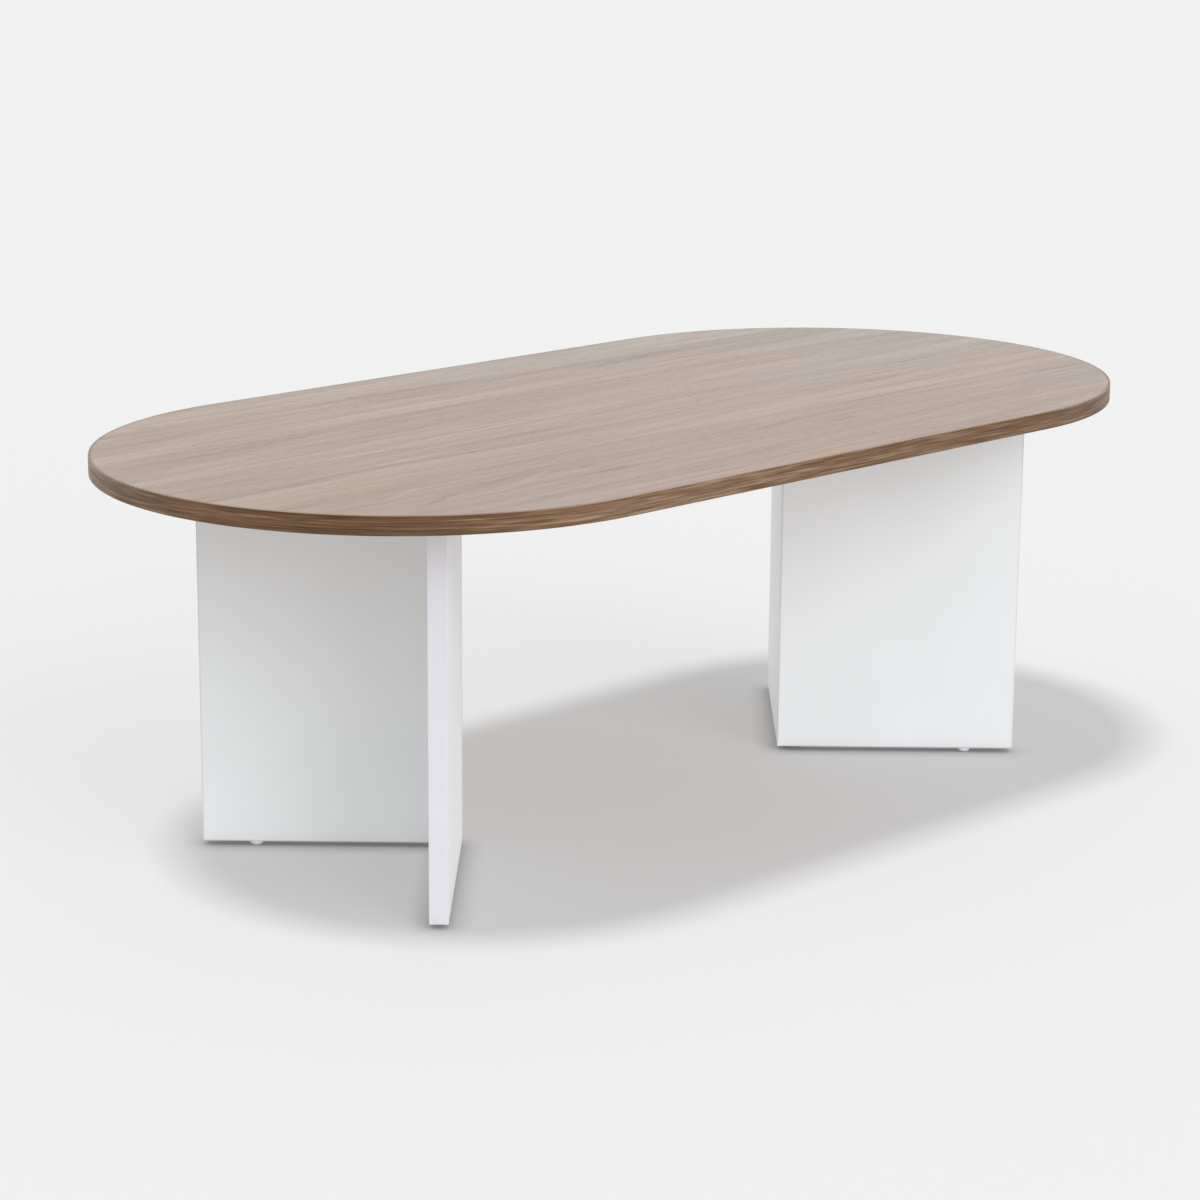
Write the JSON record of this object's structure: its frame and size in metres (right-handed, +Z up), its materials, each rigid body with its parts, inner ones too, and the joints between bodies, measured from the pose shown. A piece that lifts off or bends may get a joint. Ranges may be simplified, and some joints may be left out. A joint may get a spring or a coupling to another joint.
{
  "type": "coffee table",
  "caption": "Low coffee table: a racetrack-shaped walnut-look board on white arrow-head panel legs, joined with cam locks, bolts and dowels.",
  "frame": {"origin": "on the floor under the middle of the top", "axes": "+X along the top's length, +Y across its width, +Z up"},
  "size_m": [1.2, 0.6, 0.41],
  "materials": {
    "walnut_melamine": "satin walnut-look melamine on particle board",
    "walnut_edge": "satin walnut-look ABS edge band",
    "white_melamine": "satin white melamine on particle board",
    "white_edge": "satin white ABS edge band",
    "cam_zinc": "die-cast zinc",
    "bolt_steel": "zinc-plated steel",
    "dowel_beech": "raw fluted beech",
    "glide_plastic": "moulded white polyethylene"
  },
  "bodies": {
    "root": {"table_top": "walnut_melamine", "top_edge_band": "walnut_edge", "left_leg_main_panel": "white_melamine", "left_leg_return_panel": "white_melamine", "left_leg_main_corner_band": "white_edge", "left_leg_main_end_band": "white_edge", "left_leg_main_bottom_band": "white_edge", "left_leg_return_end_band": "white_edge", "left_leg_return_bottom_band": "white_edge", "left_leg_corner_cam_1": "cam_zinc", "left_leg_corner_cam_2": "cam_zinc", "left_leg_main_top_cam_1": "cam_zinc", "left_leg_main_top_cam_2": "cam_zinc", "left_leg_return_top_cam_1": "cam_zinc", "left_leg_return_top_cam_2": "cam_zinc", "left_leg_corner_bolt_1": "bolt_steel", "left_leg_corner_bolt_2": "bolt_steel", "left_leg_main_top_bolt_1": "bolt_steel", "left_leg_main_top_bolt_2": "bolt_steel", "left_leg_return_top_bolt_1": "bolt_steel", "left_leg_return_top_bolt_2": "bolt_steel", "left_leg_corner_dowel_1": "dowel_beech", "left_leg_corner_dowel_2": "dowel_beech", "left_leg_main_top_dowel": "dowel_beech", "left_leg_return_top_dowel": "dowel_beech", "left_leg_main_glide": "glide_plastic", "left_leg_return_glide": "glide_plastic", "left_leg_main_glide_nail": "bolt_steel", "left_leg_return_glide_nail": "bolt_steel", "right_leg_main_panel": "white_melamine", "right_leg_return_panel": "white_melamine", "right_leg_main_corner_band": "white_edge", "right_leg_main_end_band": "white_edge", "right_leg_main_bottom_band": "white_edge", "right_leg_return_end_band": "white_edge", "right_leg_return_bottom_band": "white_edge", "right_leg_corner_cam_1": "cam_zinc", "right_leg_corner_cam_2": "cam_zinc", "right_leg_main_top_cam_1": "cam_zinc", "right_leg_main_top_cam_2": "cam_zinc", "right_leg_return_top_cam_1": "cam_zinc", "right_leg_return_top_cam_2": "cam_zinc", "right_leg_corner_bolt_1": "bolt_steel", "right_leg_corner_bolt_2": "bolt_steel", "right_leg_main_top_bolt_1": "bolt_steel", "right_leg_main_top_bolt_2": "bolt_steel", "right_leg_return_top_bolt_1": "bolt_steel", "right_leg_return_top_bolt_2": "bolt_steel", "right_leg_corner_dowel_1": "dowel_beech", "right_leg_corner_dowel_2": "dowel_beech", "right_leg_main_top_dowel": "dowel_beech", "right_leg_return_top_dowel": "dowel_beech", "right_leg_main_glide": "glide_plastic", "right_leg_return_glide": "glide_plastic", "right_leg_main_glide_nail": "bolt_steel", "right_leg_return_glide_nail": "bolt_steel"}
  },
  "joints": []
}
